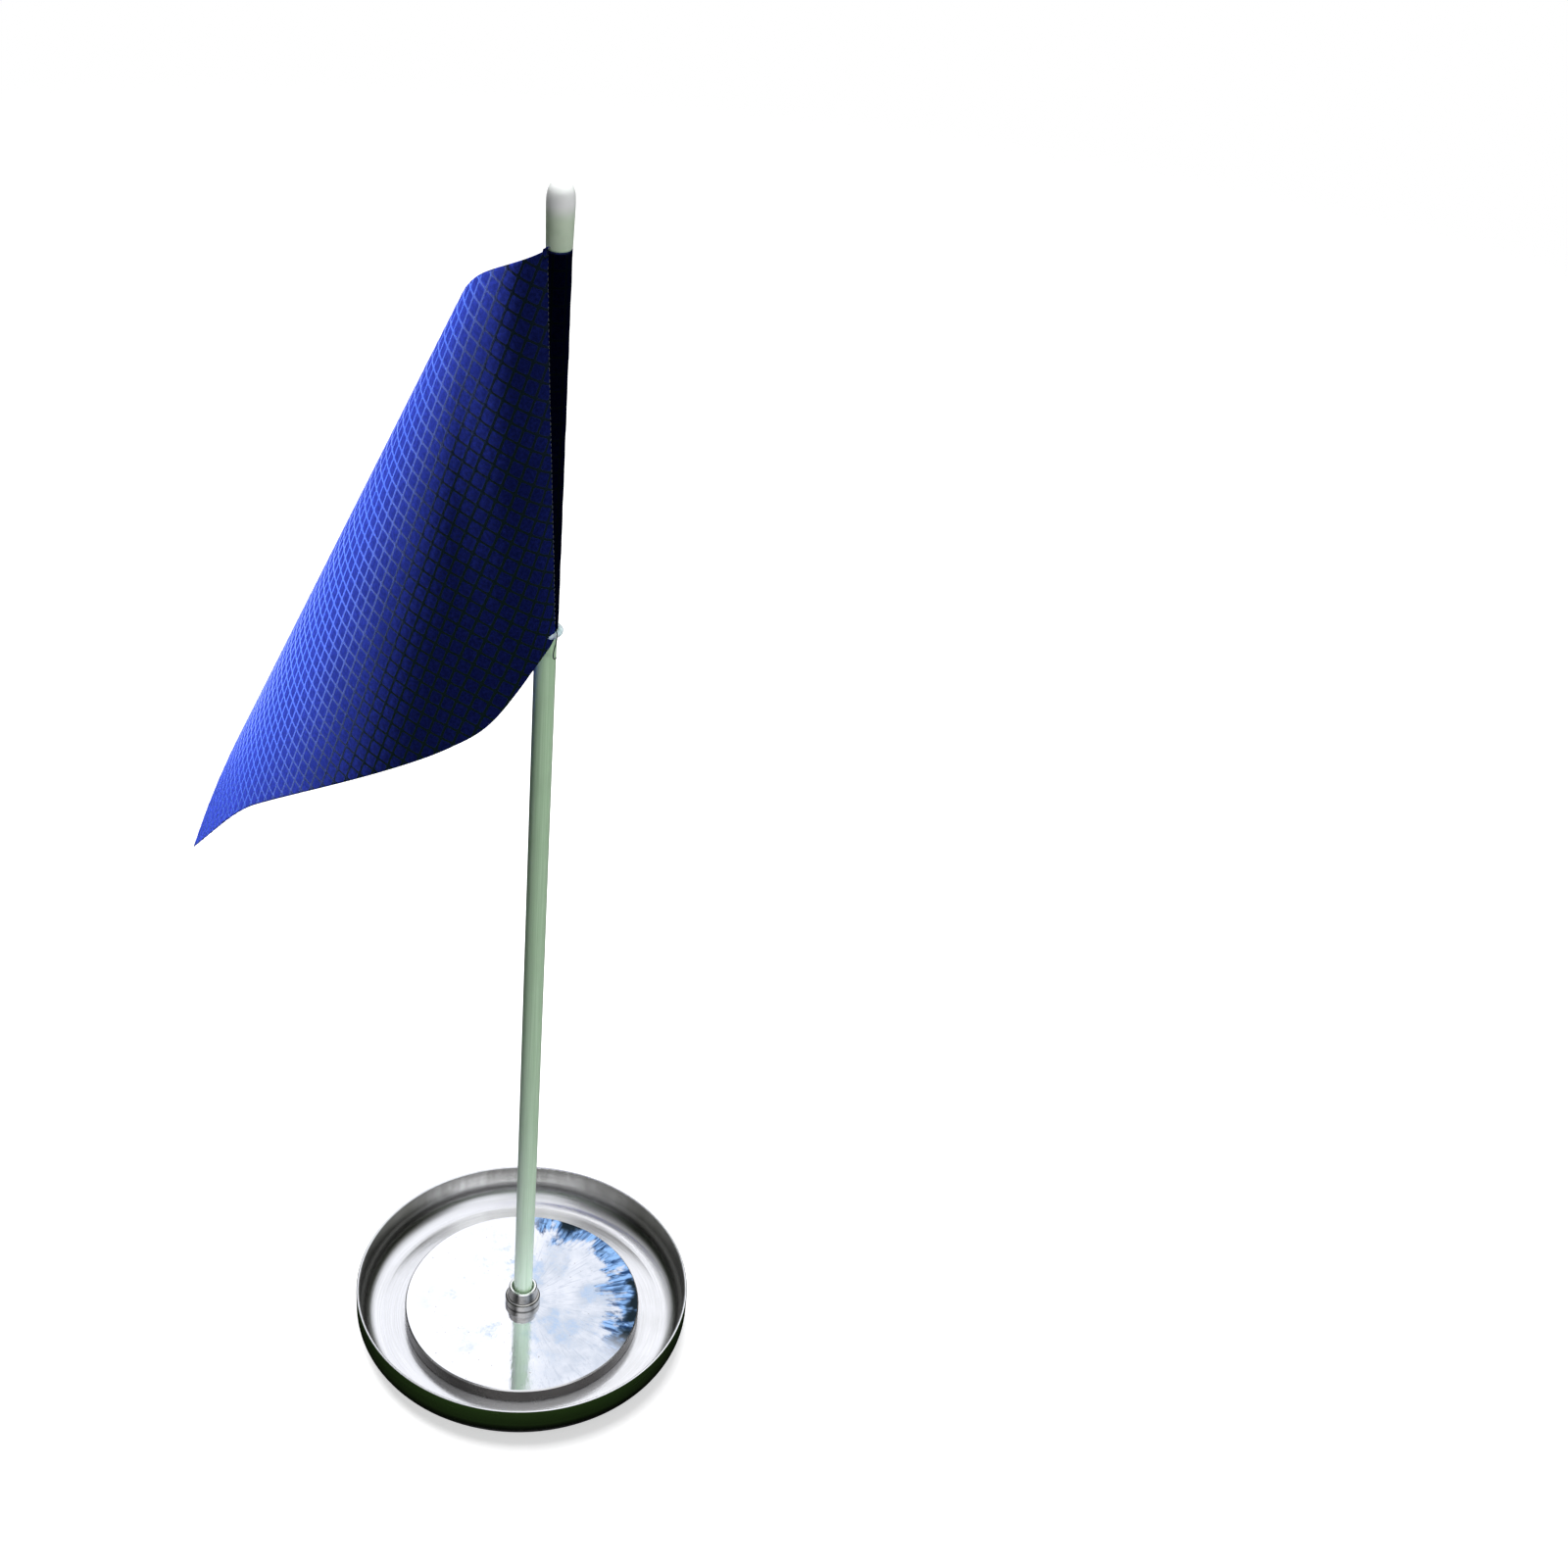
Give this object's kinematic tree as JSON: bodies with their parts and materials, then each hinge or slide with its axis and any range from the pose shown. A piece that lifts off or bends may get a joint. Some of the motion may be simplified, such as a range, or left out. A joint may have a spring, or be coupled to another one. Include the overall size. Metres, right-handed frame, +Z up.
{
  "type": "golf flagstick",
  "caption": "Tabletop putting-practice flagstick: a slim rod with a small ripstop flag, standing in a collar on a weighted spun-steel cup.",
  "frame": {"origin": "on the ground under the rod, at the centre of the foot pad's underside", "axes": "+Z up along the rod; -X is the side the flag flies to; -Y is the front"},
  "size_m": [0.1672, 0.1717, 0.389],
  "materials": {
    "foam": "closed-cell foam, matt",
    "spun_steel": "spun, concentric satin",
    "polished_steel": "polished face, turned edge",
    "turned_steel": "fine turned",
    "rod": "satin glass-fibre rod, pale green",
    "cap": "moulded, translucent pale green",
    "sleeve_cloth": "ripstop nylon",
    "flag_cloth": "ripstop nylon, diamond grid",
    "thread": "polyester thread",
    "clear_rubber": "clear moulded ring"
  },
  "bodies": {
    "base": {"foot_pad": "foam", "cup_pan": "spun_steel", "weight_disc": "polished_steel", "socket_collar": "turned_steel", "base_screw": "turned_steel"},
    "stick": {"flagstick_rod": "rod", "end_cap": "cap"},
    "ring": {"stop_ring": "clear_rubber"},
    "flag": {"flag_sleeve": "sleeve_cloth", "flag_panel": "flag_cloth", "hoist_seam": "thread", "corner_tab": "sleeve_cloth", "thread_tail": "thread"}
  },
  "joints": [
    {"name": "stick_lift", "type": "slide", "parent": "base", "child": "stick", "axis": [0, 0, 1], "range_m": [0, 0.0105]},
    {"name": "flag_swivel", "type": "hinge", "parent": "stick", "child": "flag", "pos_m": [0, 0, 0.31905], "axis": [0, 0, 1], "continuous": true},
    {"name": "ring_slide", "type": "slide", "parent": "stick", "child": "ring", "axis": [0, 0, 1], "range_m": [-0.249, 0]}
  ]
}
